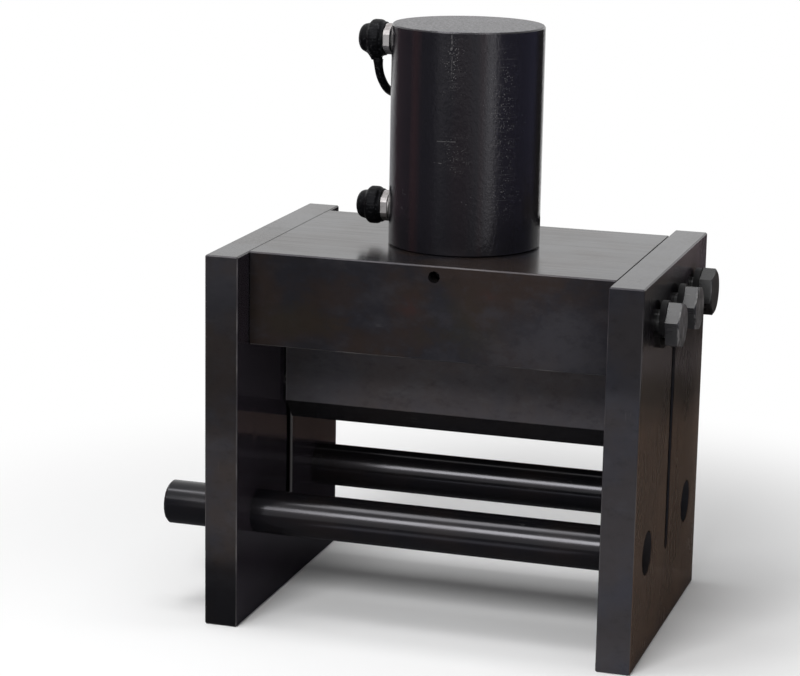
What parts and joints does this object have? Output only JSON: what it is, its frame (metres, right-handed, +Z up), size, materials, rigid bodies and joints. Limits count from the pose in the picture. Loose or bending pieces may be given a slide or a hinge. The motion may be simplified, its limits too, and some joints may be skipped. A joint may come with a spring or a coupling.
{
  "type": "hydraulic busbar bender",
  "caption": "Hydraulic busbar bender: upright side plates, a bolted top block with a double-acting cylinder, a V punch guided in slots, and round die rods that slide out.",
  "frame": {"origin": "on the floor under the ram's axis, midway between the side plates", "axes": "+Z up along the ram's axis, +X to the operator's right along the die rods, -Y towards the operator"},
  "size_m": [0.3055, 0.18, 0.3517],
  "materials": {
    "frame_steel": "black oxide on ground steel, oiled, with worn edges",
    "barrel_steel": "black oxide on turned steel, glossy, with fine scratches",
    "punch_steel": "black oxide on ground steel",
    "die_rod_steel": "black oxide on polished bar",
    "fastener_steel": "black oxide, satin",
    "ground_steel": "bare ground steel, oiled",
    "ram_chrome": "hard chrome, ground",
    "bronze": "turned bronze",
    "seal_rubber": "moulded nitrile rubber",
    "guide_ring_plastic": "filled plastic, machined",
    "nickel_plate": "bright nickel plate",
    "valve_steel": "turned steel",
    "cap_rubber": "moulded black rubber, slightly glossy"
  },
  "bodies": {
    "frame": {"left_side_plate": "frame_steel", "right_side_plate": "frame_steel", "top_block": "frame_steel", "left_side_screws": "fastener_steel", "right_side_bolts": "fastener_steel", "right_spring_washers": "fastener_steel", "cylinder_barrel": "barrel_steel", "barrel_lock_screw": "fastener_steel", "cylinder_gland": "ground_steel", "gland_bush": "bronze", "gland_o_ring": "seal_rubber", "rod_seal": "seal_rubber", "rod_wiper": "seal_rubber", "upper_coupler": "nickel_plate", "lower_coupler": "nickel_plate", "upper_seal_washer": "seal_rubber", "lower_seal_washer": "seal_rubber", "upper_poppet_spring": "valve_steel", "lower_poppet_spring": "valve_steel", "tether_eye": "cap_rubber", "upper_cap_tether": "cap_rubber"},
    "ram": {"piston": "ground_steel", "piston_wear_ring": "guide_ring_plastic", "piston_seal": "seal_rubber", "piston_nut": "fastener_steel", "piston_rod": "ram_chrome", "punch": "punch_steel", "punch_guide_pins": "ground_steel"},
    "front_rod": {"front_die_rod": "die_rod_steel"},
    "rear_rod": {"rear_die_rod": "die_rod_steel"},
    "upper_cap": {"upper_dust_cap": "cap_rubber"},
    "lower_cap": {"lower_dust_cap": "cap_rubber"},
    "upper_valve": {"upper_poppet": "valve_steel"},
    "lower_valve": {"lower_poppet": "valve_steel"}
  },
  "joints": [
    {"name": "ram_stroke", "type": "slide", "parent": "frame", "child": "ram", "axis": [0, 0, -1], "range_m": [0, 0.06]},
    {"name": "front_rod_pull", "type": "slide", "parent": "frame", "child": "front_rod", "axis": [-1, 0, 0], "range_m": [-0.0075, 0.22]},
    {"name": "rear_rod_pull", "type": "slide", "parent": "frame", "child": "rear_rod", "axis": [-1, 0, 0], "range_m": [-0.0075, 0.22]},
    {"name": "upper_cap_pull", "type": "slide", "parent": "frame", "child": "upper_cap", "axis": [-1, 0, 0], "range_m": [0, 0.018], "deforming": ["upper_cap_tether"]},
    {"name": "lower_cap_pull", "type": "slide", "parent": "frame", "child": "lower_cap", "axis": [-1, 0, 0], "range_m": [0, 0.018]},
    {"name": "upper_valve_press", "type": "slide", "parent": "frame", "child": "upper_valve", "axis": [1, 0, 0], "range_m": [0, 0.0035], "stiffness_N_per_m": 600, "springref_m": -0.006, "deforming": ["upper_poppet_spring"]},
    {"name": "lower_valve_press", "type": "slide", "parent": "frame", "child": "lower_valve", "axis": [1, 0, 0], "range_m": [0, 0.0035], "stiffness_N_per_m": 600, "springref_m": -0.006, "deforming": ["lower_poppet_spring"]}
  ]
}
